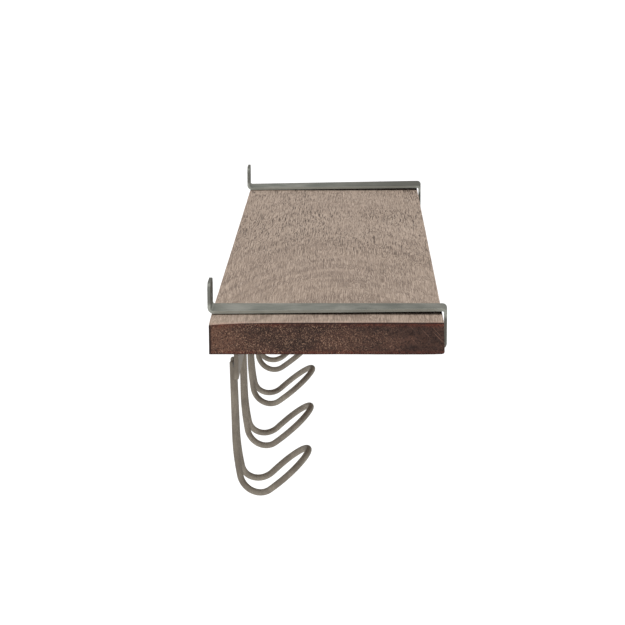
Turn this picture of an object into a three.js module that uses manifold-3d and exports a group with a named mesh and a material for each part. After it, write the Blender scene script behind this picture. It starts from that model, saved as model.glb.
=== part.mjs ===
// Wall shelf with coat hooks: an old plank held in two bent steel straps, and a steel rail
// under it that carries five bent-rod hooks.
// Millimetres. X runs along the plank, the wall is the plane Y = 0, the front is -Y, Z is up.
// X = 0 is midway between the brackets and Z = 0 is the underside of the plank.

import * as THREE from "three";
import { mergeVertices } from "three/addons/utils/BufferGeometryUtils.js";
import Module from "manifold-3d";

const wasm = await Module();
wasm.setup();

// Gap left wherever two pieces touch.
const gap = 0.3;

// Plank.
const plankLength = 600;
const plankCentreX = -5;
const plankDepth = 150.5;
const plankThickness = 21;
const plankEdgeRadius = 1.2;
const plankLowerFrontExtraRadius = 0.7;
const plankFrontSlope = 0.6;

// Flat bar of the two brackets.
const strapWidth = 25;
const strapThickness = 2;
const strapCentreX = 267;
const wallBend = { outer: 4.2, inner: 1.2 };
const frontBend = { outer: 3, inner: 1 };
const lowerBend = { outer: 4, inner: 2 };
const wallLegHeight = 20.5;
const wallLegCornerRadius = 5;
const frontGap = 0.9;
const lowerRunBackY = -8;
const wallHoleDiameter = 5;
const wallHoleAboveTop = 11;

// Rail, a flat bar on edge under the brackets.
const railBackY = -16.8;
const railThickness = 3;
const railHeight = 20;

// Hooks. They were bent and welded by hand, so each leans and hangs a little differently.
const hookPitch = 120;
const rodRadius = 2.25;
const stemY = -14;
const stemTopZ = -18;
const topHalfSpacing = 5.5;
const topStraight = 19.5;
const bendHalfSpacing = 10.6;
const bendAlongRod = 72.9;
const bendSpread = THREE.MathUtils.degToRad(3.4);
const noseRadius = 22.5;
const noseFlare = THREE.MathUtils.degToRad(3.2);
const hooks = [
  { lean: 1.6, drop: 0 },
  { lean: 1.0, drop: 0.6 },
  { lean: 0.1, drop: 0 },
  { lean: -0.9, drop: 1.2 },
  { lean: -1.6, drop: 1.5 },
];

// Side view of a hook from the top of the stem: straight runs have no radius.
const hookRuns = [
  { length: 50 },
  { radius: 170, turn: THREE.MathUtils.degToRad(9.5) },
  { radius: 12.6, turn: THREE.MathUtils.degToRad(119.4) },
  { length: 33.4 },
];

// The two straps stand off the wood a little more towards the front, and are slightly twisted:
// rise is the lift of the middle of the bar at the front, twist how much more its +X edge lifts,
// and turn how much further that edge stands out from the wood in the front leg.
const sides = [
  { name: "left", x: -strapCentreX, rise: 0.85, twist: -1.7, turn: 1.1 },
  { name: "right", x: strapCentreX, rise: 2.15, twist: 0.9, turn: 0.8 },
];

// Wood screws that hold the plank, two through each bracket from below.
const screwYs = [-48, -118];
const screwHoleDiameter = 4.6;
const screwHeadDiameter = 8;
const screwHeadHeight = 2.2;
const screwShankRadius = 1.7;
const screwDepthInWood = 14;

// Derived levels.
const plankBackY = -(strapThickness + gap);
const plankFrontY = plankBackY - plankDepth;
const topRunZ = plankThickness + gap;
const frontFaceY = plankFrontY - frontGap - strapThickness;
const lowerRunTopZ = -gap;
const lowerRunBottomZ = lowerRunTopZ - strapThickness;
const railTopZ = lowerRunBottomZ - gap;
const railHalfLength = strapCentreX + strapWidth / 2;

function material(colour, roughness, metalness) {
  return new THREE.MeshStandardMaterial({ color: colour, roughness, metalness });
}

function toSolid(geometry) {
  const bare = geometry.clone();
  bare.deleteAttribute("normal");
  bare.deleteAttribute("uv");
  const merged = mergeVertices(bare, 1e-4);
  const mesh = new wasm.Mesh({
    numProp: 3,
    vertProperties: new Float32Array(merged.attributes.position.array),
    triVerts: new Uint32Array(merged.index.array),
  });
  return new wasm.Manifold(mesh);
}

function toGeometry(solid) {
  const mesh = solid.getMesh();
  const geometry = new THREE.BufferGeometry();
  geometry.setAttribute("position", new THREE.BufferAttribute(mesh.vertProperties, 3));
  geometry.setIndex(new THREE.BufferAttribute(mesh.triVerts, 1));
  geometry.computeVertexNormals();
  return geometry;
}

// Extrudes an outline drawn in (Y, Z) along X, centred on x.
function extrudeAlongX(outline, length, x, options) {
  const geometry = new THREE.ExtrudeGeometry(outline, {
    depth: length,
    bevelEnabled: false,
    curveSegments: 6,
    ...options,
  });
  geometry.translate(0, 0, -length / 2);
  const axes = new THREE.Matrix4().makeBasis(
    new THREE.Vector3(0, 1, 0),
    new THREE.Vector3(0, 0, 1),
    new THREE.Vector3(1, 0, 0),
  );
  geometry.applyMatrix4(axes);
  geometry.translate(x, 0, 0);
  return geometry;
}

function cylinderAlongZ(diameter, x, y, zLow, zHigh) {
  const geometry = new THREE.CylinderGeometry(diameter / 2, diameter / 2, zHigh - zLow, 24);
  geometry.rotateX(Math.PI / 2);
  geometry.translate(x, y, (zLow + zHigh) / 2);
  return toSolid(geometry);
}

function boxSolid(xLow, xHigh, yLow, yHigh, zLow, zHigh) {
  const geometry = new THREE.BoxGeometry(xHigh - xLow, yHigh - yLow, zHigh - zLow);
  geometry.translate((xLow + xHigh) / 2, (yLow + yHigh) / 2, (zLow + zHigh) / 2);
  return toSolid(geometry);
}

function plank() {
  const bevel = plankEdgeRadius;
  const outline = new THREE.Shape();
  const front = plankFrontY + bevel;
  const back = plankBackY - bevel;
  const low = bevel;
  const high = plankThickness - bevel;
  const lowFront = front - plankFrontSlope;
  const extra = plankLowerFrontExtraRadius;
  outline.moveTo(lowFront + extra, low);
  outline.lineTo(back, low);
  outline.lineTo(back, high);
  outline.lineTo(front, high);
  outline.lineTo(lowFront, low + extra);
  outline.quadraticCurveTo(lowFront, low, lowFront + extra, low);
  const geometry = extrudeAlongX(outline, plankLength - 2 * bevel, plankCentreX, {
    bevelEnabled: true,
    bevelSize: bevel,
    bevelThickness: bevel,
    bevelSegments: 4,
  });
  let solid = toSolid(geometry);
  for (const side of [-1, 1]) {
    for (const y of screwYs) {
      const depth = screwDepthInWood + gap;
      const hole = cylinderAlongZ(2 * (screwShankRadius + gap), side * strapCentreX, y, -1, depth);
      solid = solid.subtract(hole);
    }
  }
  return toGeometry(solid);
}

// A flat bar bent along a run of straight lines: the outline of its edge, with rounded bends.
// Every corner is [y, z] on the side the bar is measured from; the bar lies to the left of it.
// Every bend has an outer and an inner radius; a tight one is drawn thinner than the bar.
function bentBarOutline(corners, thickness, bends) {
  const points = corners.map(([y, z]) => new THREE.Vector2(y, z));
  const directions = points.slice(1).map((p, i) => p.clone().sub(points[i]).normalize());
  const normals = directions.map((d) => new THREE.Vector2(-d.y, d.x));
  const offset = points.map((p, i) => {
    if (i === 0) {
      return p.clone().addScaledVector(normals[0], thickness);
    }
    if (i === points.length - 1) {
      return p.clone().addScaledVector(normals[i - 1], thickness);
    }
    const mitre = normals[i - 1].clone().add(normals[i]);
    return p.clone().addScaledVector(mitre, thickness / (1 + normals[i - 1].dot(normals[i])));
  });
  const outline = new THREE.Shape();
  const turns = directions.slice(1).map((d, i) => directions[i].cross(d));

  function roundedCorner(corner, before, after, radius) {
    const angle = Math.acos(THREE.MathUtils.clamp(before.dot(after), -1, 1));
    const reach = radius * Math.tan(angle / 2);
    const start = corner.clone().addScaledVector(before, -reach);
    const end = corner.clone().addScaledVector(after, reach);
    const side = Math.sign(before.cross(after));
    const centre = start.clone().addScaledVector(new THREE.Vector2(-before.y, before.x), side * radius);
    const from = Math.atan2(start.y - centre.y, start.x - centre.x);
    const to = Math.atan2(end.y - centre.y, end.x - centre.x);
    outline.lineTo(start.x, start.y);
    outline.absarc(centre.x, centre.y, radius, from, to, side < 0);
  }

  outline.moveTo(points[0].x, points[0].y);
  for (let i = 1; i < points.length - 1; i += 1) {
    const radius = turns[i - 1] > 0 ? bends[i - 1].outer : bends[i - 1].inner;
    roundedCorner(points[i], directions[i - 1], directions[i], radius);
  }
  outline.lineTo(points.at(-1).x, points.at(-1).y);
  outline.lineTo(offset.at(-1).x, offset.at(-1).y);
  for (let i = points.length - 2; i > 0; i -= 1) {
    const radius = turns[i - 1] > 0 ? bends[i - 1].inner : bends[i - 1].outer;
    const before = directions[i].clone().negate();
    const after = directions[i - 1].clone().negate();
    roundedCorner(offset[i], before, after, radius);
  }
  outline.lineTo(offset[0].x, offset[0].y);
  return outline;
}

// Lifts one edge of the top run against the other by twist, and brings one edge of the front
// leg further forward by turn. Both start from nothing at the wall.
function bendByHand(geometry, x, twist, turn) {
  const position = geometry.attributes.position;
  for (let i = 0; i < position.count; i += 1) {
    const across = (position.getX(i) - x) / strapWidth;
    const forward = THREE.MathUtils.clamp(position.getY(i) / frontFaceY, 0, 1);
    const upward = THREE.MathUtils.clamp(position.getZ(i) / plankThickness, 0, 1);
    position.setY(i, position.getY(i) - turn * (across + 0.5) * forward);
    position.setZ(i, position.getZ(i) + twist * across * forward * upward);
  }
  return geometry;
}

// Wall leg up, run across the plank, front leg down, run back under the plank.
function bracket({ x, rise, twist, turn }) {
  const topZ = plankThickness + wallLegHeight;
  const corners = [
    [lowerRunBackY, lowerRunBottomZ],
    [frontFaceY, lowerRunBottomZ],
    [frontFaceY, topRunZ + rise + strapThickness],
    [-strapThickness, topRunZ + strapThickness],
    [-strapThickness, topZ],
  ];
  // The listed side is the lower and front face, so the bar lies to the right of the walk.
  const bends = [wallBend, frontBend, lowerBend];
  const outline = bentBarOutline(corners.toReversed(), strapThickness, bends);
  let solid = toSolid(bendByHand(extrudeAlongX(outline, strapWidth, x), x, twist, turn));
  solid = solid.intersect(roundedLegBlank(x, topZ));
  for (const y of screwYs) {
    const hole = cylinderAlongZ(screwHoleDiameter, x, y, lowerRunBottomZ - 1, lowerRunTopZ + 0.2);
    solid = solid.subtract(hole);
  }
  return toGeometry(solid.subtract(wallHole(x)));
}

// Block that rounds the two top corners of a wall leg when it is kept in common with it.
function roundedLegBlank(x, topZ) {
  const half = strapWidth / 2;
  const r = wallLegCornerRadius;
  const outline = new THREE.Shape();
  outline.moveTo(-half, -10);
  outline.lineTo(half, -10);
  outline.lineTo(half, topZ - r);
  outline.absarc(half - r, topZ - r, r, 0, Math.PI / 2, false);
  outline.lineTo(-half + r, topZ);
  outline.absarc(-half + r, topZ - r, r, Math.PI / 2, Math.PI, false);
  const geometry = new THREE.ExtrudeGeometry(outline, {
    depth: 200,
    bevelEnabled: false,
    curveSegments: 6,
  });
  geometry.rotateX(Math.PI / 2);
  geometry.translate(x, 10, 0);
  return toSolid(geometry);
}

function wallHole(x) {
  const geometry = new THREE.CylinderGeometry(wallHoleDiameter / 2, wallHoleDiameter / 2, 8, 24);
  geometry.translate(x, -strapThickness / 2, plankThickness + wallHoleAboveTop);
  return toSolid(geometry);
}

function rail() {
  const front = railBackY - railThickness;
  const outline = new THREE.Shape();
  outline.moveTo(front, railTopZ - railHeight);
  outline.lineTo(railBackY, railTopZ - railHeight);
  outline.lineTo(railBackY, railTopZ);
  outline.lineTo(front, railTopZ);
  return extrudeAlongX(outline, 2 * railHalfLength, 0);
}

const hookRunLengths = hookRuns.map((run) => run.length ?? run.radius * run.turn);
const hookLength = hookRunLengths.reduce((sum, length) => sum + length, 0);

// Point [y, z] of a hook's side view at a distance along it from the top of the stem.
function hookSideView(distance, { lean, drop }) {
  let y = stemY;
  let z = stemTopZ - drop;
  let heading = THREE.MathUtils.degToRad(lean);
  let left = distance;
  for (const [i, run] of hookRuns.entries()) {
    const step = Math.min(left, hookRunLengths[i]);
    if (run.radius) {
      const next = heading + step / run.radius;
      y += run.radius * (Math.cos(next) - Math.cos(heading));
      z -= run.radius * (Math.sin(next) - Math.sin(heading));
      heading = next;
    } else {
      y -= step * Math.sin(heading);
      z -= step * Math.cos(heading);
    }
    left -= step;
  }
  return [y, z];
}

// Centre line of the rod laid flat: x across, y the distance down from the top of the stem.
// The stems spread slowly, then the arms flare faster and run into the round nose.
function flatHairpin() {
  const noseCentre = hookLength - noseRadius;
  const spread = new THREE.Vector2(Math.sin(bendSpread), Math.cos(bendSpread));
  const flare = new THREE.Vector2(Math.sin(noseFlare), Math.cos(noseFlare));
  const top = new THREE.Vector2(topHalfSpacing, 0);
  const stemHigh = new THREE.Vector2(topHalfSpacing, topStraight);
  const bend = new THREE.Vector2(bendHalfSpacing, bendAlongRod);
  const stemLow = bend.clone().addScaledVector(spread, -26);
  const armLow = bend.clone().addScaledVector(spread, 14.5);
  const noseStart = new THREE.Vector2(noseRadius * flare.y, noseCentre - noseRadius * flare.x);
  const armHigh = noseStart.clone().addScaledVector(flare, -14.5);
  const path = new THREE.Path();
  path.moveTo(-top.x, top.y);
  path.bezierCurveTo(-stemHigh.x, stemHigh.y, -stemLow.x, stemLow.y, -bend.x, bend.y);
  path.bezierCurveTo(-armLow.x, armLow.y, -armHigh.x, armHigh.y, -noseStart.x, noseStart.y);
  path.absarc(0, noseCentre, noseRadius, Math.PI + noseFlare, -noseFlare, true);
  path.bezierCurveTo(armHigh.x, armHigh.y, armLow.x, armLow.y, bend.x, bend.y);
  path.bezierCurveTo(stemLow.x, stemLow.y, stemHigh.x, stemHigh.y, top.x, top.y);
  return path;
}

class HookCentreLine extends THREE.Curve {
  constructor(x, pose) {
    super();
    this.x = x;
    this.pose = pose;
    this.flat = flatHairpin();
  }

  getPoint(t, target = new THREE.Vector3()) {
    const p = this.flat.getPointAt(t);
    const [y, z] = hookSideView(p.y, this.pose);
    return target.set(this.x + p.x, y, z);
  }
}

function hook(x, pose) {
  const section = new THREE.Shape();
  section.absarc(0, 0, rodRadius, 0, 2 * Math.PI, false);
  return new THREE.ExtrudeGeometry(section, {
    steps: 88,
    curveSegments: 6,
    extrudePath: new HookCentreLine(x, pose),
  });
}

// Small bead in the corner between the outer side of a stem and the back of the rail.
function hookWeld(stemX, side) {
  const bead = new THREE.SphereGeometry(1, 12, 8);
  bead.rotateX(Math.PI / 2);
  bead.scale(1.9, 1.8, 2.3);
  bead.translate(stemX + side * 2.4, railBackY + 1.2, railTopZ - railHeight + 2.6);
  const stem = cylinderAlongZ(2 * (rodRadius + gap), stemX, stemY, -40, 0);
  const bar = boxSolid(stemX - 10, stemX + 10, railBackY - 10, railBackY + gap, -40, 0);
  return toGeometry(toSolid(bead).subtract(stem).subtract(bar));
}

// Fillet between the front of the rail and the underside of a bracket.
function railWeld(x) {
  const leg = 3;
  const corner = railBackY - railThickness - gap;
  const top = lowerRunBottomZ - gap;
  const outline = new THREE.Shape();
  outline.moveTo(corner, top);
  outline.lineTo(corner - leg, top);
  outline.quadraticCurveTo(corner - leg * 0.3, top - leg * 0.3, corner, top - leg);
  return extrudeAlongX(outline, strapWidth - 6, x);
}

// Round-headed wood screw, head below the bracket and point in the plank.
function screw(x, y) {
  const underHead = lowerRunBottomZ - gap;
  const headRadius = screwHeadDiameter / 2;
  const tip = screwDepthInWood;
  const profile = [
    new THREE.Vector2(0, underHead - screwHeadHeight),
    new THREE.Vector2(headRadius * 0.5, underHead - screwHeadHeight * 0.9),
    new THREE.Vector2(headRadius * 0.85, underHead - screwHeadHeight * 0.5),
    new THREE.Vector2(headRadius, underHead),
    new THREE.Vector2(screwShankRadius, underHead),
    new THREE.Vector2(screwShankRadius, tip - 4),
    new THREE.Vector2(0, tip),
  ];
  const geometry = new THREE.LatheGeometry(profile, 20);
  geometry.rotateX(Math.PI / 2);
  geometry.translate(x, y, 0);
  return toGeometry(toSolid(geometry));
}

const shelf = new THREE.Group();
shelf.name = "hook_shelf";

function add(name, geometry, look) {
  const mesh = new THREE.Mesh(geometry, look);
  mesh.name = name;
  shelf.add(mesh);
}

add("plank", plank(), material(0x9c8674, 0.85, 0));
for (const side of sides) {
  add(`bracket_${side.name}`, bracket(side), material(0x7d7d77, 0.5, 1));
  add(`rail_weld_${side.name}`, railWeld(side.x), material(0x6a6762, 0.55, 1));
  for (const [i, y] of screwYs.entries()) {
    add(`screw_${side.name}_${i + 1}`, screw(side.x, y), material(0x8a8880, 0.35, 1));
  }
}
add("hook_rail", rail(), material(0x8d867d, 0.45, 1));
for (const [i, pose] of hooks.entries()) {
  const x = (i - (hooks.length - 1) / 2) * hookPitch;
  add(`hook_${i + 1}`, hook(x, pose), material(0x8d867d, 0.45, 1));
  add(`hook_weld_${i + 1}_left`, hookWeld(x - topHalfSpacing, -1), material(0x6a6762, 0.55, 1));
  add(`hook_weld_${i + 1}_right`, hookWeld(x + topHalfSpacing, 1), material(0x6a6762, 0.55, 1));
}

export default shelf;
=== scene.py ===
"""The looks of a wall shelf with coat hooks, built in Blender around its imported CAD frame.

X runs along the plank, +Y goes into the wall, -Y is the front and Z is up. Metres.
"""

import math

import bmesh
import bpy
from mathutils import Matrix, Quaternion, Vector, noise


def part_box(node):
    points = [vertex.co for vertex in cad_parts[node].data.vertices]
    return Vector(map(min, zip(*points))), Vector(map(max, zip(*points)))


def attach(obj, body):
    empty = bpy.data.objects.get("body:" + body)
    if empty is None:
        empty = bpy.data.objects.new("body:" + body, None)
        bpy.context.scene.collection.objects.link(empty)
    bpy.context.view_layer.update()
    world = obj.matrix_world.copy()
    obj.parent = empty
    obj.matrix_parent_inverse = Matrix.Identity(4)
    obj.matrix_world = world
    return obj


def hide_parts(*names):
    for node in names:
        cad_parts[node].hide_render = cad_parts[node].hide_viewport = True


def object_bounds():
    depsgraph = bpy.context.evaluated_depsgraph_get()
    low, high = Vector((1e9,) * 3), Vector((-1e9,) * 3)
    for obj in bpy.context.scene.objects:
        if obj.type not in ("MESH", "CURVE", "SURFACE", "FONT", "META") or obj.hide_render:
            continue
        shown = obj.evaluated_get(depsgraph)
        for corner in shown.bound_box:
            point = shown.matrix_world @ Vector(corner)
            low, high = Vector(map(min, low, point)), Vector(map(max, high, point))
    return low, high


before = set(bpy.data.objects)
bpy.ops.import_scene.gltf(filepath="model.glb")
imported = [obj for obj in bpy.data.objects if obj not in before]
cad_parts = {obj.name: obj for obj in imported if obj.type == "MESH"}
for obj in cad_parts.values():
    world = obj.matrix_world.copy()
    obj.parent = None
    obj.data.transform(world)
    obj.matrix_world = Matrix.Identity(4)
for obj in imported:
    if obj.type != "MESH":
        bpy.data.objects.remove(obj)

cad_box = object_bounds()
MM = 0.001

# ---------------------------------------------------------------- driving values

# Camera: one end of the plank seen along its length, from a little above.
CAMERA_BEFORE_END = 1305 * MM
CAMERA_FROM_WALL = 93.7 * MM
CAMERA_ABOVE_TOP = 284.6 * MM
CAMERA_PITCH = math.radians(-12.019)
CAMERA_YAW = math.radians(1.094)
CAMERA_ROLL = math.radians(-0.2235)
CAMERA_LENS = 120.6
CAMERA_SENSOR = 36
CAMERA_REACH = 200

# Plank lattice: wide steps on the faces, closer ones in the zones along the edges.
PLANK_STEP_ALONG = 3.6 * MM
PLANK_STEP_ACROSS = 3.0 * MM
PLANK_STEP_UP = 2.0 * MM
PLANK_EDGE_ZONE = 4.0 * MM

# Plank wear.
FRONT_SLOPE = 0.6 * MM
LOWER_FRONT_ROUNDING = 1.4 * MM
LOWER_FRONT_REACH = 6 * MM
ARRIS_RADIUS = 0.45 * MM
ARRIS_WEAR = 0.6 * MM
ARRIS_GRIT = 0.15 * MM
NICK_DEPTH = 2.2 * MM
NICK_RARITY = 0.42
TOP_WAVE = 0.20 * MM
TOP_RIDGE = 0.10 * MM
SIDE_WAVE = 0.12 * MM
CORNER_DIP = 2.0 * MM
CORNER_DIP_ACROSS = 20 * MM
CORNER_DIP_ALONG = 11 * MM

# Plank wear, in noise waves per metre.
WEAR_PATCHES = 22
WEAR_GRIT = 140
WEAR_NICKS = 60
SLOW_WAVES = Vector((6, 28, 28))
RIDGE_WAVES = Vector((14, 170, 170))

# Levels that the materials go by.
PLANK_MIDDLE_Z = 10.5 * MM
TOP_RUN_Z = 23 * MM

# Steel edges. Angles are the sharpest bend between two faces that stays unrounded.
STRAP_EDGE = 0.6 * MM
RAIL_EDGE = 0.3 * MM
ROD_END_EDGE = 0.3 * MM
EDGE_SEGMENTS = 3
BAR_EDGE_ANGLE = math.radians(34)
ROD_EDGE_ANGLE = math.radians(50)

# Hook rod: the same bends as the CAD frame's hooks. Each hook leans a little differently.
ROD_RADIUS = 2.24 * MM
TOP_HALF_SPACING = 5.5 * MM
TOP_STRAIGHT = 19.5 * MM
BEND_HALF_SPACING = 10.6 * MM
BEND_ALONG_ROD = 72.9 * MM
BEND_SPREAD = math.radians(3.4)
SPREAD_REACH = 26 * MM
FLARE_REACH = 14.5 * MM
NOSE_RADIUS = 22.5 * MM
NOSE_FLARE = math.radians(3.2)
STEM_Y = -14 * MM
HOOK_LEANS = [math.radians(degrees) for degrees in (1.6, 1.0, 0.1, -0.9, -1.6)]
HOOK_RUNS = (
    (50 * MM, 0.0),
    (170 * MM * math.radians(9.5), math.radians(9.5)),
    (12.6 * MM * math.radians(119.4), math.radians(119.4)),
    (33.4 * MM, 0.0),
)
STEM_POINTS = 80
FLARE_POINTS = 40
NOSE_POINTS = 60
ROD_SIDES = 24
ROD_STATIONS = 260
ROD_DOME_REACH = 0.6
ROD_DOME_DEPTH = 0.55
ROD_UNEVENNESS = 0.012

# Weld beads.
WELD_GRAIN = 0.25 * MM
WELD_SMOOTHING_ROUNDS = 4
WELD_SMOOTHING = 0.6

# Wood screws. The head's rows are shares of its radius and of its height, from its top down.
SCREW_SIDES = 48
SCREW_HEAD_HEIGHT = 2.2 * MM
SCREW_HEAD_ROWS = (
    (0.0, 0.0),
    (0.30, 0.02),
    (0.55, 0.08),
    (0.76, 0.22),
    (0.90, 0.42),
    (0.98, 0.68),
    (1.0, 0.88),
    (0.97, 1.0),
)
SCREW_SHANK = 1.5 * MM
SCREW_THREAD_DEPTH = 0.45 * MM
SCREW_TURNS = 9
SCREW_ROWS_PER_TURN = 6
SCREW_TIP_TAPER = 4 * MM
CROSS_SIZE = (4.2 * MM, 0.8 * MM, 2.6 * MM)
CROSS_TURN = 0.5

# Studio: a floor far below the shelf, soft light from above and a weak one from the near end.
FLOOR_BELOW = 1.3
FLOOR_HALF_WIDTH = 60.0
FLOOR_GLOW = 0.35
WORLD_STRENGTH = 0.85
LIGHTS = (
    {"name": "overhead", "place": (-0.3, -0.3, 1.7), "aim": (0, -0.08, 0), "size": 1.6, "power": 16},
    {"name": "fill", "place": (-2.4, -0.2, 0.9), "aim": (-0.25, -0.08, 0), "size": 1.4, "power": 5},
)

# The tone of bare steel where it is seen edge on.
EDGE_TINT = (0.35, 0.34, 0.33, 1)

# What is added to the end of each material's name.
LOOK = "_look"


# ---------------------------------------------------------------- material graphs


class Graph:
    """A material's node tree, with short calls for the nodes used here."""

    def __init__(self, name):
        self.material = bpy.data.materials.new(name + LOOK)
        self.material.use_nodes = True
        self.tree = self.material.node_tree
        self.shader = self.tree.nodes["Principled BSDF"]
        self.place = self.tree.nodes.new("ShaderNodeTexCoord").outputs["Object"]

    def wire(self, value, socket):
        if isinstance(value, bpy.types.NodeSocket):
            self.tree.links.new(value, socket)
        else:
            socket.default_value = value

    def scaled(self, scale, vector=None, shift=(0, 0, 0)):
        """The place (or another vector) in units of 1 / scale, carried along by a shift."""
        node = self.tree.nodes.new("ShaderNodeMapping")
        self.wire(vector or self.place, node.inputs["Vector"])
        node.inputs["Scale"].default_value = scale
        node.inputs["Location"].default_value = shift
        return node.outputs["Vector"]

    def noise(self, vector, scale=1.0, detail=3.0, roughness=0.5, distortion=0.0):
        node = self.tree.nodes.new("ShaderNodeTexNoise")
        self.wire(vector, node.inputs["Vector"])
        node.inputs["Scale"].default_value = scale
        node.inputs["Detail"].default_value = detail
        node.inputs["Roughness"].default_value = roughness
        node.inputs["Distortion"].default_value = distortion
        return node.outputs["Fac"]

    def math(self, operation, a, b=0.0, c=0.0):
        node = self.tree.nodes.new("ShaderNodeMath")
        node.operation = operation
        for value, socket in zip((a, b, c), node.inputs):
            self.wire(value, socket)
        return node.outputs["Value"]

    def fit(self, value, low, high, to_low=0.0, to_high=1.0):
        """Smoothly carries low..high to to_low..to_high, and holds the ends."""
        node = self.tree.nodes.new("ShaderNodeMapRange")
        node.interpolation_type = "SMOOTHSTEP"
        for given, name in (
            (value, "Value"),
            (low, "From Min"),
            (high, "From Max"),
            (to_low, "To Min"),
            (to_high, "To Max"),
        ):
            self.wire(given, node.inputs[name])
        return node.outputs["Result"]

    def mix(self, factor, a, b):
        node = self.tree.nodes.new("ShaderNodeMix")
        node.data_type = "RGBA"
        self.wire(factor, node.inputs["Factor"])
        self.wire(a, node.inputs["A"])
        self.wire(b, node.inputs["B"])
        return node.outputs["Result"]

    def axes(self, vector):
        node = self.tree.nodes.new("ShaderNodeSeparateXYZ")
        self.wire(vector, node.inputs["Vector"])
        return node.outputs["X"], node.outputs["Y"], node.outputs["Z"]

    def joined(self, x, y, z):
        node = self.tree.nodes.new("ShaderNodeCombineXYZ")
        for value, name in ((x, "X"), (y, "Y"), (z, "Z")):
            self.wire(value, node.inputs[name])
        return node.outputs["Vector"]

    def normal(self):
        return self.tree.nodes.new("ShaderNodeNewGeometry").outputs["Normal"]

    def bump(self, height, depth):
        node = self.tree.nodes.new("ShaderNodeBump")
        node.inputs["Distance"].default_value = depth
        node.inputs["Strength"].default_value = 1.0
        self.wire(height, node.inputs["Height"])
        return node.outputs["Normal"]

    def finish(self, colour, roughness, bump=None, **plain):
        """Wires the shader; plain holds its constants, with _ for the spaces in their names."""
        self.wire(colour, self.shader.inputs["Base Color"])
        self.wire(roughness, self.shader.inputs["Roughness"])
        if bump is not None:
            self.wire(bump, self.shader.inputs["Normal"])
        for name, value in plain.items():
            self.shader.inputs[name.replace("_", " ")].default_value = value
        return self.material


def tone(red, green, blue):
    """A colour from 0..255 screen values to the linear values that shaders take."""

    def linear(value):
        share = value / 255
        if share <= 0.04045:
            return share / 12.92
        return ((share + 0.055) / 1.055) ** 2.4

    return (linear(red), linear(green), linear(blue), 1.0)


# ---------------------------------------------------------------- materials


def wood_face(g):
    """Colour and height of the bleached long faces, with the grain along X."""
    drift = g.noise(g.scaled((11, 30, 30)), detail=3)
    bend = g.math("MULTIPLY_ADD", drift, 0.010, -0.005)
    x, y, z = g.axes(g.place)
    across = g.math("ADD", y, bend)
    grain_place = g.joined(x, across, g.math("ADD", z, bend))

    blotch = g.noise(g.scaled((7, 14, 14), grain_place), detail=5, roughness=0.6)
    colour = g.mix(g.fit(blotch, 0.30, 0.70), tone(141, 124, 110), tone(155, 138, 124))

    # Faint arched rings, clearest at the near end.
    middle = g.math("ADD", y, 0.085)
    arch = g.math("MULTIPLY_ADD", g.math("MULTIPLY", middle, middle), 22.0, x)
    rings = g.noise(g.joined(arch, 0.0, g.math("MULTIPLY", y, 0.2)), scale=34, detail=2, distortion=0.3)
    near = g.fit(x, -0.16, 0.10, 0.80, 0.30)
    colour = g.mix(g.math("MULTIPLY", g.fit(rings, 0.46, 0.62), near), colour, tone(122, 106, 94))

    # Fine dark and pale fibres.
    fibre = g.noise(g.scaled((34, 2300, 2300), grain_place), detail=2, roughness=0.6)
    colour = g.mix(g.fit(fibre, 0.34, 0.56, 0.50, 0.0), colour, tone(98, 82, 70))
    pale = g.noise(g.scaled((30, 2300, 2300), grain_place, (3.1, 1.7, 0.4)), detail=1.5)
    colour = g.mix(g.fit(pale, 0.48, 0.62, 0.0, 0.52), colour, tone(188, 169, 153))

    # Open pores: short dark dashes in patches, fewer of them at the near end.
    dash = g.noise(g.scaled((46, 1900, 1900), grain_place, (7.3, 0.2, 2.9)), detail=1)
    patch = g.noise(g.scaled((9, 22, 22), None, (1.1, 4.2, 0)), detail=2)
    share = g.math("MULTIPLY", g.fit(patch, 0.34, 0.60, 0.45, 1.0), g.fit(x, -0.26, 0.10, 0.30, 1.0))
    pores = g.math("MULTIPLY", g.fit(dash, 0.58, 0.65), share)
    colour = g.mix(g.math("MULTIPLY", pores, 0.88), colour, tone(62, 48, 40))

    height = g.math("MULTIPLY_ADD", pores, -0.9, g.math("MULTIPLY", fibre, 0.55))
    return colour, height


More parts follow.
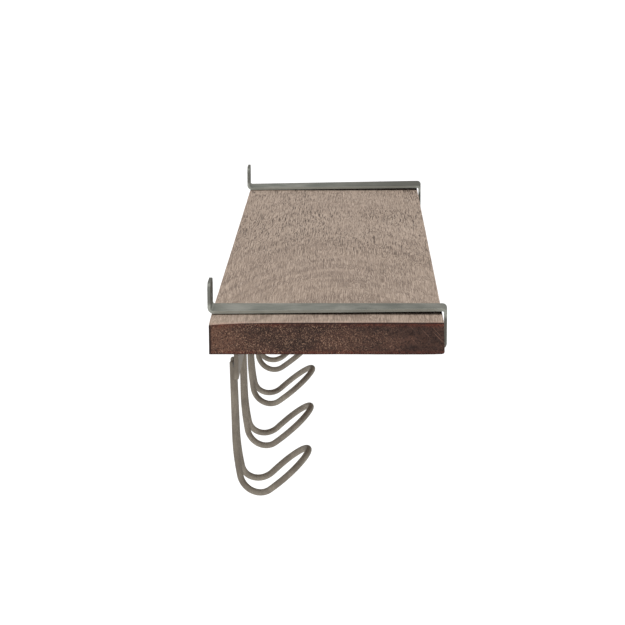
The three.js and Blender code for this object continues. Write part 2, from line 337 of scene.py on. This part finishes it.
def end_grain(g):
    """Colour and height of the dark sawn ends: red rims, specks of open vessels and scratches."""
    soft = g.noise(g.scaled((60, 26, 70)), detail=4, roughness=0.6)
    colour = g.mix(g.fit(soft, 0.34, 0.66), tone(50, 34, 29), tone(82, 57, 47))
    x, y, z = g.axes(g.place)
    towards_wall = g.fit(y, -0.035, -0.004)
    colour = g.mix(g.math("MULTIPLY", towards_wall, 0.45), colour, tone(116, 82, 66))

    # The wood is redder close to its top and bottom.
    from_middle = g.math("ABSOLUTE", g.math("ADD", z, -PLANK_MIDDLE_Z))
    red = g.math("MULTIPLY", g.fit(from_middle, 6.5 * MM, 10 * MM), g.fit(soft, 0.30, 0.60, 0.25, 0.8))
    colour = g.mix(red, colour, tone(96, 42, 30))

    # Pale specks of open vessels, thick in the half by the wall, and grime between them.
    wall_side = g.fit(g.math("MULTIPLY_ADD", soft, 0.05, y), -0.115, -0.05)
    vessel = g.noise(g.scaled((500, 2000, 1800)), detail=1.5, roughness=0.6)
    speck = g.fit(vessel, 0.56, 0.62)
    field = g.noise(g.scaled((60, 90, 260), None, (4, 1, 6)), detail=2)
    amount = g.math("MULTIPLY", wall_side, g.fit(field, 0.38, 0.58, 0.45, 1.0))
    speck = g.math("MULTIPLY", speck, g.math("MULTIPLY_ADD", amount, 0.68, 0.06))
    colour = g.mix(g.math("MULTIPLY", speck, 0.9), colour, tone(190, 152, 126))
    grime = g.noise(g.scaled((500, 1100, 1150), None, (2, 5, 1)), detail=3, roughness=0.75)
    colour = g.mix(g.fit(grime, 0.36, 0.54, 0.85, 0.0), colour, tone(24, 14, 12))

    # A few slanting scratches near the front edge.
    lean = g.joined(x, g.math("MULTIPLY_ADD", z, -0.9, y), g.math("MULTIPLY_ADD", y, 0.9, z))
    scratch = g.noise(g.scaled((20, 900, 26), lean), detail=1)
    rare = g.noise(g.scaled((20, 60, 40), lean, (4, 2, 8)), detail=1)
    scratch = g.math("MULTIPLY", g.fit(scratch, 0.65, 0.71), g.fit(rare, 0.50, 0.60))
    by_front = g.fit(y, -0.125, -0.090, 0.45, 0.0)
    colour = g.mix(g.math("MULTIPLY", scratch, by_front), colour, tone(150, 112, 94))

    # Dirt in the outermost millimetre, along the top, the bottom and the wall side.
    back_edge = g.fit(y, -4.4 * MM, -3.2 * MM)
    outline = g.math("MAXIMUM", g.fit(from_middle, 9.2 * MM, 10.2 * MM), back_edge)
    colour = g.mix(g.math("MULTIPLY", outline, 0.90), colour, tone(34, 16, 13))

    height = g.math("MULTIPLY_ADD", grime, 0.5, g.math("MULTIPLY", speck, -0.6))
    return colour, height


def weathered_wood():
    """Bleached long faces and dark ends on one board, told apart by which way the surface faces."""
    g = Graph("weathered_wood")
    low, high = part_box("plank")
    face_colour, face_height = wood_face(g)
    end_colour, end_height = end_grain(g)

    nx, ny, nz = g.axes(g.normal())
    x = g.axes(g.place)[0]
    fray = g.noise(g.scaled((180, 240, 240)), detail=4, roughness=0.7)
    half_length = (high.x - low.x) / 2
    from_middle = g.math("ABSOLUTE", g.math("ADD", x, -(low.x + high.x) / 2))
    turned = g.math("MULTIPLY_ADD", fray, 0.3, g.math("ABSOLUTE", nx))

    # The ends' dark stain has crept a little way over their arrises.
    bled_over = g.fit(from_middle, half_length - 2.0 * MM, half_length - 1.2 * MM)
    is_end = g.math("MAXIMUM", g.fit(turned, 0.36, 0.60), bled_over)

    # Painted shade: the long edges and the underside are darker the further they turn from facing up.
    painted_side_shade = g.fit(g.math("MULTIPLY_ADD", fray, 0.25, nz), 0.2, 0.95, 0.55, 0.0)
    face_colour = g.mix(painted_side_shade, face_colour, tone(96, 74, 60))

    # Rubbed wear and a painted highlight: the long faces are paler along their arrises and in a strip
    # beside the sawn ends.
    flattest = g.math("MAXIMUM", g.math("ABSOLUTE", ny), g.math("ABSOLUTE", nz))
    patches = g.fit(fray, 0.40, 0.62, 0.2, 1.0)
    wear_and_highlight = g.math("MULTIPLY", g.fit(flattest, 0.80, 0.96, 1.0, 0.0), patches)
    beside_end = g.fit(from_middle, half_length - 7.5 * MM, half_length - 3.5 * MM, 0.0, 0.5)
    wear_and_highlight = g.math("MAXIMUM", wear_and_highlight, g.math("MULTIPLY", beside_end, patches))
    face_colour = g.mix(g.math("MULTIPLY", wear_and_highlight, 0.7), face_colour, tone(190, 156, 140))

    colour = g.mix(is_end, face_colour, end_colour)
    height = g.mix(is_end, face_height, end_height)

    rough = g.fit(fray, 0.3, 0.7, 0.78, 0.94)
    bump = g.bump(height, 0.35 * MM)
    return g.finish(colour, rough, bump, Specular_IOR_Level=0.25)


def strap_steel():
    """Dull raw flat bar: mill grey with a green cast, cloudy, faintly scratched along its length."""
    g = Graph("strap_steel")
    cloud = g.noise(g.place, scale=38, detail=5, roughness=0.6)
    colour = g.mix(g.fit(cloud, 0.34, 0.68), tone(137, 140, 132), tone(165, 164, 156))
    stain = g.noise(g.scaled((120, 60, 60)), detail=4, roughness=0.65)
    colour = g.mix(g.fit(stain, 0.58, 0.74, 0.0, 0.5), colour, tone(98, 88, 76))
    brushed = g.noise(g.scaled((2600, 70, 70)), detail=3, roughness=0.6)
    colour = g.mix(g.fit(brushed, 0.3, 0.7, 0.25, 0.0), colour, tone(84, 86, 82))

    # Painted shade: the straps are darker towards the front, the far one more.
    x, y, z = g.axes(g.place)
    painted_front_shade = g.fit(y, -0.15, -0.03, g.fit(x, -0.1, 0.1, 0.30, 0.70), 0.0)
    colour = g.mix(painted_front_shade, colour, tone(86, 86, 80))

    # Painted light and shade: the narrow edges of the run across the top, facing along the plank, are
    # painted bright, and the legs are painted darker.
    sideways = g.math("ABSOLUTE", g.axes(g.normal())[0])
    on_leg = g.fit(g.math("ABSOLUTE", g.math("ADD", z, -TOP_RUN_Z)), 3.0 * MM, 6.0 * MM)
    painted_edge_light = g.math("MULTIPLY", g.fit(sideways, 0.35, 0.75), g.math("SUBTRACT", 1.0, on_leg))
    colour = g.mix(g.math("MULTIPLY", painted_edge_light, 0.45), colour, tone(176, 179, 170))
    colour = g.mix(g.math("MULTIPLY", on_leg, 0.55), colour, tone(82, 80, 75))
    pits = g.noise(g.place, scale=1500, detail=2)
    colour = g.mix(g.fit(pits, 0.66, 0.76, 0.0, 0.6), colour, tone(62, 56, 50))
    rough = g.math("ADD", g.fit(cloud, 0.3, 0.7, 0.36, 0.52), g.math("MULTIPLY", brushed, 0.12))
    height = g.math("ADD", g.math("MULTIPLY", brushed, 0.5), g.math("MULTIPLY", pits, -0.8))
    bump = g.bump(height, 0.03 * MM)
    return g.finish(colour, rough, bump, Metallic=0.85, Specular_Tint=EDGE_TINT)


def rod_steel():
    """Raw drawn rod: warm grey, with fine lines along it and small darker marks."""
    g = Graph("rod_steel")
    cloud = g.noise(g.place, scale=70, detail=5, roughness=0.62)
    colour = g.mix(g.fit(cloud, 0.34, 0.68), tone(117, 109, 99), tone(145, 137, 125))
    drawn = g.noise(g.scaled((1500, 900, 60)), detail=3, roughness=0.6)
    colour = g.mix(g.fit(drawn, 0.3, 0.68, 0.35, 0.0), colour, tone(98, 90, 80))
    marks = g.noise(g.place, scale=900, detail=3, roughness=0.7)
    colour = g.mix(g.fit(marks, 0.60, 0.72, 0.0, 0.5), colour, tone(84, 72, 60))
    rough = g.fit(cloud, 0.3, 0.7, 0.48, 0.62)
    height = g.math("ADD", g.math("MULTIPLY", drawn, 0.5), g.math("MULTIPLY", marks, -0.6))
    bump = g.bump(height, 0.03 * MM)
    return g.finish(colour, rough, bump, Metallic=0.45, Specular_Tint=EDGE_TINT)


def weld_steel():
    """Weld metal: dark, with straw and blue heat colours in patches and a scaly skin."""
    g = Graph("weld_steel")
    heat = g.noise(g.place, scale=260, detail=3)
    colour = g.mix(g.fit(heat, 0.35, 0.6), tone(72, 74, 80), tone(116, 104, 88))
    scale = g.noise(g.place, scale=1800, detail=4, roughness=0.7)
    colour = g.mix(g.fit(scale, 0.5, 0.7, 0.0, 0.6), colour, tone(48, 44, 42))
    rough = g.fit(scale, 0.3, 0.7, 0.38, 0.62)
    return g.finish(colour, rough, g.bump(scale, 0.12 * MM), Metallic=0.8)


def screw_steel():
    """Zinc-plated screw: brighter, with fine turned lines and dull wear."""
    g = Graph("screw_steel")
    wear = g.noise(g.place, scale=420, detail=4, roughness=0.6)
    colour = g.mix(g.fit(wear, 0.36, 0.66), tone(132, 130, 122), tone(176, 174, 166))
    turned = g.noise(g.scaled((300, 300, 5200)), detail=2)
    colour = g.mix(g.fit(turned, 0.35, 0.6, 0.25, 0.0), colour, tone(96, 94, 88))
    rough = g.fit(wear, 0.3, 0.7, 0.26, 0.44)
    return g.finish(colour, rough, g.bump(turned, 0.02 * MM), Metallic=0.95)


# ---------------------------------------------------------------- mesh helpers


def add_object(name, mesh, material, node):
    """Puts a mesh in the scene as the piece that stands for a CAD node."""
    mesh.materials.clear()
    mesh.materials.append(material)
    for face in mesh.polygons:
        face.material_index = 0
        face.use_smooth = True
    piece = bpy.data.objects.new(name, mesh)
    bpy.context.collection.objects.link(piece)
    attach(piece, "root")
    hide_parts(node)
    return piece


def mesh_from(name, vertices, faces):
    mesh = bpy.data.meshes.new(name)
    mesh.from_pydata([tuple(v) for v in vertices], [], faces)
    mesh.update()
    return mesh


def round_edges(piece, width, angle):
    """Bevels the edges that are sharper than an angle, and keeps the flats flat."""
    bevel = piece.modifiers.new("edges", "BEVEL")
    bevel.width = width
    bevel.segments = EDGE_SEGMENTS
    bevel.limit_method = "ANGLE"
    bevel.angle_limit = angle
    even = piece.modifiers.new("normals", "WEIGHTED_NORMAL")
    even.keep_sharp = True


def clean_copy(node):
    """A copy of a CAD node's mesh with its triangles joined back into flat faces."""
    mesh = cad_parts[node].data.copy()
    shape = bmesh.new()
    shape.from_mesh(mesh)
    bmesh.ops.remove_doubles(shape, verts=shape.verts, dist=0.002 * MM)
    bmesh.ops.dissolve_limit(
        shape, angle_limit=math.radians(1.0), verts=shape.verts, edges=shape.edges
    )
    shape.to_mesh(mesh)
    shape.free()
    return mesh


# ---------------------------------------------------------------- plank


def spaced(low, high, step, edge):
    """Stations from low to high, a step apart, with closer ones within an edge's width."""
    inner = [low + edge * share for share in (0.0, 0.12, 0.28, 0.48, 0.72, 1.0)]
    outer = [high - (value - low) for value in reversed(inner)]
    count = max(1, round((outer[0] - inner[-1]) / step))
    between = [inner[-1] + (outer[0] - inner[-1]) * i / count for i in range(1, count)]
    return inner + between + outer


def worn_point(point, low, high):
    """Carries a point on the plank's box to the worn surface, always inwards."""
    # The arrises are rounded more in patches, nicked here and there, and most at the lower front.
    patch = noise.noise(point * WEAR_PATCHES + Vector((3, 1, 7)))
    grit = noise.noise(point * WEAR_GRIT)
    radius = ARRIS_RADIUS + ARRIS_WEAR * max(0.0, patch + 0.1) + ARRIS_GRIT * grit
    nick = noise.noise(point * WEAR_NICKS + Vector((9, 9, 2)))
    radius += NICK_DEPTH * max(0.0, nick - NICK_RARITY)
    near_bottom = max(0.0, 1 - (point.z - low.z) / LOWER_FRONT_REACH)
    near_front = max(0.0, 1 - (point.y - low.y) / LOWER_FRONT_REACH)
    radius += LOWER_FRONT_ROUNDING * near_bottom * near_front

    inner = Vector(min(max(p, a + radius), b - radius) for p, a, b in zip(point, low, high))
    away = point - inner
    if away.length > radius:
        point = inner + away * (radius / away.length)

    # The long faces have slow waves and, between the fibres, low ridges.
    centre = (low + high) / 2
    wave = 0.5 + 0.5 * noise.noise(point * SLOW_WAVES)
    ridges = 0.5 + 0.5 * noise.noise(point * RIDGE_WAVES)
    sinks = {1: SIDE_WAVE * ridges, 2: TOP_WAVE * wave + TOP_RIDGE * ridges}
    for axis, sink in sinks.items():
        reach = abs(point[axis] - centre[axis]) / ((high[axis] - low[axis]) / 2)
        if reach > 0.97:
            point[axis] -= math.copysign(sink, point[axis] - centre[axis])

    # The front face leans, so the underside comes further forward than the top.
    upward = (point.z - low.z) / (high.z - low.z)
    forward = (high.y - point.y) / (high.y - low.y)
    point.y += FRONT_SLOPE * upward * forward

    # One top corner by the wall is rubbed lower than the rest.
    to_wall = (high.y - point.y) / CORNER_DIP_ACROSS
    to_end = (point.x - low.x) / CORNER_DIP_ALONG
    upper = max(0.0, (point.z - centre.z) / (high.z - centre.z))
    point.z -= CORNER_DIP * upper * math.exp(-to_wall - to_end)
    return point


def plank(material):
    """A box lattice drawn over the plank and pulled in along its worn edges."""
    low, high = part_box("plank")
    stations = (
        spaced(low.x, high.x, PLANK_STEP_ALONG, PLANK_EDGE_ZONE),
        spaced(low.y, high.y, PLANK_STEP_ACROSS, PLANK_EDGE_ZONE),
        spaced(low.z, high.z, PLANK_STEP_UP, PLANK_EDGE_ZONE),
    )
    counts = [len(values) - 1 for values in stations]
    numbers = {}
    vertices = []

    def number(key):
        if key not in numbers:
            numbers[key] = len(vertices)
            point = Vector(values[k] for values, k in zip(stations, key))
            vertices.append(worn_point(point, Vector(low), Vector(high)))
        return numbers[key]

    faces = []
    for axis in range(3):
        u, v = (axis + 1) % 3, (axis + 2) % 3
        for side in (0, counts[axis]):
            for i in range(counts[u]):
                for j in range(counts[v]):
                    corners = []
                    for du, dv in ((0, 0), (1, 0), (1, 1), (0, 1)):
                        key = [0, 0, 0]
                        key[axis], key[u], key[v] = side, i + du, j + dv
                        corners.append(number(tuple(key)))
                    faces.append(corners if side else corners[::-1])
    add_object("plank_wood", mesh_from("plank_wood", vertices, faces), material, "plank")


# ---------------------------------------------------------------- hooks


def side_view(distance, lean):
    """Y, Z of the rod's centre at a distance from the top of the stem, taken as Z = 0."""
    y = z = 0.0
    heading = lean
    left = distance
    for length, turn in HOOK_RUNS:
        step = min(left, length)
        if turn:
            radius = length / turn
            ahead = heading + step / radius
            y += radius * (math.cos(ahead) - math.cos(heading))
            z -= radius * (math.sin(ahead) - math.sin(heading))
            heading = ahead
        else:
            y -= step * math.sin(heading)
            z -= step * math.cos(heading)
        left -= step
    return y, z


def curve_between(start, first, second, end, count):
    """Points on a cubic curve, without its last one."""
    points = []
    for i in range(count):
        t = i / count
        shares = ((1 - t) ** 3, 3 * (1 - t) ** 2 * t, 3 * (1 - t) * t**2, t**3)
        corners = (start, first, second, end)
        points.append(sum((c * w for c, w in zip(corners, shares)), Vector((0, 0))))
    return points


def flat_half():
    """Half of the hairpin laid flat, from the top of a stem to the middle of its nose."""
    centre = sum(length for length, turn in HOOK_RUNS) - NOSE_RADIUS
    spread = Vector((math.sin(BEND_SPREAD), math.cos(BEND_SPREAD)))
    flare = Vector((math.sin(NOSE_FLARE), math.cos(NOSE_FLARE)))
    top = Vector((TOP_HALF_SPACING, 0))
    bend = Vector((BEND_HALF_SPACING, BEND_ALONG_ROD))
    nose = Vector((NOSE_RADIUS * flare.y, centre - NOSE_RADIUS * flare.x))
    below_top = top + Vector((0, TOP_STRAIGHT))
    above_bend = bend - spread * SPREAD_REACH
    below_bend = bend + spread * FLARE_REACH
    before_nose = nose - flare * FLARE_REACH
    points = curve_between(top, below_top, above_bend, bend, STEM_POINTS)
    points += curve_between(bend, below_bend, before_nose, nose, FLARE_POINTS)
    for i in range(NOSE_POINTS + 1):
        angle = -NOSE_FLARE + (math.pi / 2 + NOSE_FLARE) * i / NOSE_POINTS
        out = Vector((math.cos(angle), math.sin(angle))) * NOSE_RADIUS
        points.append(out + Vector((0, centre)))
    return points


def hook_centre_line(x, top_z, lean):
    """The flat hairpin, both halves of it, carried onto the hook's side view."""
    half = flat_half()
    flat = [(-across, down) for across, down in half]
    flat += [(across, down) for across, down in reversed(half[:-1])]
    line = []
    for across, down in flat:
        y, z = side_view(down, lean)
        line.append(Vector((x + across, STEM_Y + y, top_z + z)))
    return resampled(line, ROD_STATIONS)


def resampled(line, count):
    """The same line as count points at equal distances along it."""
    lengths = [0.0]
    for a, b in zip(line, line[1:]):
        lengths.append(lengths[-1] + (b - a).length)
    points = []
    k = 0
    for i in range(count):
        want = lengths[-1] * i / (count - 1)
        while k < len(line) - 2 and lengths[k + 1] < want:
            k += 1
        share = (want - lengths[k]) / (lengths[k + 1] - lengths[k])
        points.append(line[k].lerp(line[k + 1], share))
    return points


def rod_along(name, line, radius):
    """A round rod swept along a line, with domed ends and a very slightly uneven surface."""
    tangents = []
    for i in range(len(line)):
        ahead = line[min(i + 1, len(line) - 1)]
        behind = line[max(i - 1, 0)]
        tangents.append((ahead - behind).normalized())
    side = tangents[0].orthogonal().normalized()
    vertices = []
    faces = []
    total = sum((b - a).length for a, b in zip(line, line[1:]))
    step = total / (len(line) - 1)
    for i, (centre, along) in enumerate(zip(line, tangents)):
        side = (side - along * side.dot(along)).normalized()
        across = along.cross(side)
        from_end = min(i, len(line) - 1 - i) * step
        dome = min(1.0, from_end / (ROD_DOME_REACH * radius))
        ring = radius * math.sqrt(max(0.0, 1 - ROD_DOME_DEPTH * (1 - dome) ** 2))
        for k in range(ROD_SIDES):
            angle = 2 * math.pi * k / ROD_SIDES
            out = side * math.cos(angle) + across * math.sin(angle)
            uneven = 1 - ROD_UNEVENNESS * (1 + noise.noise(centre * 90 + out * 0.7))
            vertices.append(centre + out * ring * uneven)
    for i in range(len(line) - 1):
        for k in range(ROD_SIDES):
            a = i * ROD_SIDES + k
            b = i * ROD_SIDES + (k + 1) % ROD_SIDES
            faces.append((a, b, b + ROD_SIDES, a + ROD_SIDES))
    last = (len(line) - 1) * ROD_SIDES
    faces.append(tuple(reversed(range(ROD_SIDES))))
    faces.append(tuple(range(last, last + ROD_SIDES)))
    return mesh_from(name, vertices, faces)


def hook(number, material):
    """One hook, hung by its leaning stems from the top of its CAD node's box."""
    node = f"hook_{number}"
    low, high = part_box(node)
    lean = HOOK_LEANS[number - 1]
    top_z = high.z - ROD_RADIUS * abs(math.sin(lean))
    line = hook_centre_line((low.x + high.x) / 2, top_z, lean)
    piece = add_object(f"{node}_rod", rod_along(f"{node}_rod", line, ROD_RADIUS), material, node)
    round_edges(piece, ROD_END_EDGE, ROD_EDGE_ANGLE)


# ---------------------------------------------------------------- bars, welds and screws


def flat_bar(node, edge, material):
    """A CAD bar with its edges rounded."""
    piece = add_object(f"{node}_bar", clean_copy(node), material, node)
    round_edges(piece, edge, BAR_EDGE_ANGLE)


def weld_bead(node, material):
    """A CAD weld bead with its skin melted soft."""
    piece = add_object(f"{node}_bead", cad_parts[node].data.copy(), material, node)
    remesh = piece.modifiers.new("skin", "REMESH")
    remesh.mode = "VOXEL"
    remesh.voxel_size = WELD_GRAIN
    remesh.use_smooth_shade = True
    soften = piece.modifiers.new("soften", "SMOOTH")
    soften.iterations = WELD_SMOOTHING_ROUNDS
    soften.factor = WELD_SMOOTHING


def thread_pitch(neck, tip):
    """Height of one turn, with a little over one turn's height left plain."""
    return (tip - neck) / (SCREW_TURNS + 1.2)


def screw_profile(head_radius, bottom, neck, tip):
    """Radius and Z of a screw's outline, from the middle of its head up to its tip."""
    profile = [(head_radius * r, bottom + SCREW_HEAD_HEIGHT * h) for r, h in SCREW_HEAD_ROWS]
    profile.append((SCREW_SHANK, neck))
    pitch = thread_pitch(neck, tip)
    for i in range(SCREW_TURNS * SCREW_ROWS_PER_TURN):
        z = neck + pitch * (0.6 + i / SCREW_ROWS_PER_TURN)
        wave = abs((i / SCREW_ROWS_PER_TURN) % 1 - 0.5) * 2
        taper = min(1.0, (tip - z) / SCREW_TIP_TAPER)
        profile.append(((SCREW_SHANK + SCREW_THREAD_DEPTH * (1 - wave)) * taper, z))
    profile.append((0.0, tip))
    return profile


def screw(node, material):
    """A pan-head wood screw with a cross recess and a thread, head down."""
    low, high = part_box(node)
    axis = Vector(((low.x + high.x) / 2, (low.y + high.y) / 2, 0))
    neck = low.z + SCREW_HEAD_HEIGHT
    tip = high.z
    pitch = thread_pitch(neck, tip)
    profile = screw_profile((high.x - low.x) / 2, low.z, neck, tip)
    vertices = []
    faces = []
    for radius, z in profile:
        threaded = neck + pitch < z < tip - 2 * pitch
        for k in range(SCREW_SIDES):
            angle = 2 * math.pi * k / SCREW_SIDES
            rise = pitch * k / SCREW_SIDES if threaded else 0.0
            out = Vector((math.cos(angle) * radius, math.sin(angle) * radius, z - rise))
            vertices.append(axis + out)
    for i in range(len(profile) - 1):
        for k in range(SCREW_SIDES):
            a = i * SCREW_SIDES + k
            b = i * SCREW_SIDES + (k + 1) % SCREW_SIDES
            faces.append((a, b, b + SCREW_SIDES, a + SCREW_SIDES))
    mesh = mesh_from(f"{node}_zinc", vertices, faces)
    shape = bmesh.new()
    shape.from_mesh(mesh)
    bmesh.ops.remove_doubles(shape, verts=shape.verts, dist=0.001 * MM)
    bmesh.ops.recalc_face_normals(shape, faces=shape.faces)
    shape.to_mesh(mesh)
    shape.free()
    piece = add_object(f"{node}_zinc", mesh, material, node)
    cut_cross(piece, axis + Vector((0, 0, low.z)))


def cut_cross(piece, centre):
    """Cuts the cross recess of the driver into a screw's head, and applies the cut."""
    tool = bmesh.new()
    for turn in (0, math.pi / 2):
        place = Matrix.Translation(centre) @ Matrix.Rotation(turn + CROSS_TURN, 4, "Z")
        size = Matrix.Diagonal((*CROSS_SIZE, 1))
        bmesh.ops.create_cube(tool, size=1.0, matrix=place @ size)
    mesh = bpy.data.meshes.new("cross")
    tool.to_mesh(mesh)
    tool.free()
    cutter = bpy.data.objects.new("cross", mesh)
    bpy.context.collection.objects.link(cutter)
    cut = piece.modifiers.new("cross", "BOOLEAN")
    cut.operation = "DIFFERENCE"
    cut.solver = "EXACT"
    cut.use_self = True
    cut.object = cutter
    bpy.context.view_layer.update()
    ready = piece.evaluated_get(bpy.context.evaluated_depsgraph_get())
    result = bpy.data.meshes.new_from_object(ready)
    piece.modifiers.clear()
    piece.data = result
    bpy.data.objects.remove(cutter)


# ---------------------------------------------------------------- the object

wood = weathered_wood()
strap = strap_steel()
rod = rod_steel()
weld = weld_steel()
zinc = screw_steel()

plank(wood)
for side_name in ("left", "right"):
    flat_bar(f"bracket_{side_name}", STRAP_EDGE, strap)
    weld_bead(f"rail_weld_{side_name}", weld)
    for count in (1, 2):
        screw(f"screw_{side_name}_{count}", zinc)
flat_bar("hook_rail", RAIL_EDGE, rod)
for count in range(1, 6):
    hook(count, rod)
    for side_name in ("left", "right"):
        weld_bead(f"hook_weld_{count}_{side_name}", weld)


# ---------------------------------------------------------------- floor, light and camera


def floor():
    g = Graph("studio_floor")
    speckle = g.noise(g.place, scale=3, detail=2)
    colour = g.mix(speckle, (0.93, 0.93, 0.93, 1), (0.95, 0.95, 0.95, 1))
    g.finish(colour, 0.9, Specular_IOR_Level=0.1)
    g.shader.inputs["Emission Color"].default_value = (1, 1, 1, 1)
    g.shader.inputs["Emission Strength"].default_value = FLOOR_GLOW
    half = FLOOR_HALF_WIDTH
    z = cad_box[0].z - FLOOR_BELOW
    corners = [(-half, -half, z), (half, -half, z), (half, half, z), (-half, half, z)]
    mesh = mesh_from("floor", corners, [(0, 1, 2, 3)])
    mesh.materials.append(g.material)
    ground = bpy.data.objects.new("floor", mesh)
    bpy.context.collection.objects.link(ground)


def area_light(name, place, aim, size, power):
    lamp = bpy.data.lights.new(name, "AREA")
    lamp.shape = "DISK"
    lamp.size = size
    lamp.energy = power
    holder = bpy.data.objects.new(name, lamp)
    holder.location = place
    holder.rotation_mode = "QUATERNION"
    holder.rotation_quaternion = (Vector(aim) - Vector(place)).to_track_quat("-Z", "Y")
    bpy.context.collection.objects.link(holder)


def light():
    world = bpy.data.worlds.new("studio")
    bpy.context.scene.world = world
    world.use_nodes = True
    back = world.node_tree.nodes["Background"]
    back.inputs["Color"].default_value = (1, 1, 1, 1)
    back.inputs["Strength"].default_value = WORLD_STRENGTH
    for lamp in LIGHTS:
        area_light(**lamp)
    bpy.context.scene.view_settings.view_transform = "Standard"


def camera():
    low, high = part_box("plank")
    lens = bpy.data.cameras.new("camera")
    lens.sensor_width = CAMERA_SENSOR
    lens.lens = CAMERA_LENS
    lens.clip_end = CAMERA_REACH
    holder = bpy.data.objects.new("camera", lens)
    holder.location = (low.x - CAMERA_BEFORE_END, -CAMERA_FROM_WALL, high.z + CAMERA_ABOVE_TOP)
    sight = Vector(
        (
            math.cos(CAMERA_PITCH) * math.cos(CAMERA_YAW),
            math.cos(CAMERA_PITCH) * math.sin(CAMERA_YAW),
            math.sin(CAMERA_PITCH),
        )
    )
    holder.rotation_mode = "QUATERNION"
    roll = Quaternion((0, 0, 1), CAMERA_ROLL)
    holder.rotation_quaternion = sight.to_track_quat("-Z", "Y") @ roll
    bpy.context.collection.objects.link(holder)
    bpy.context.scene.camera = holder


floor()
light()
camera()
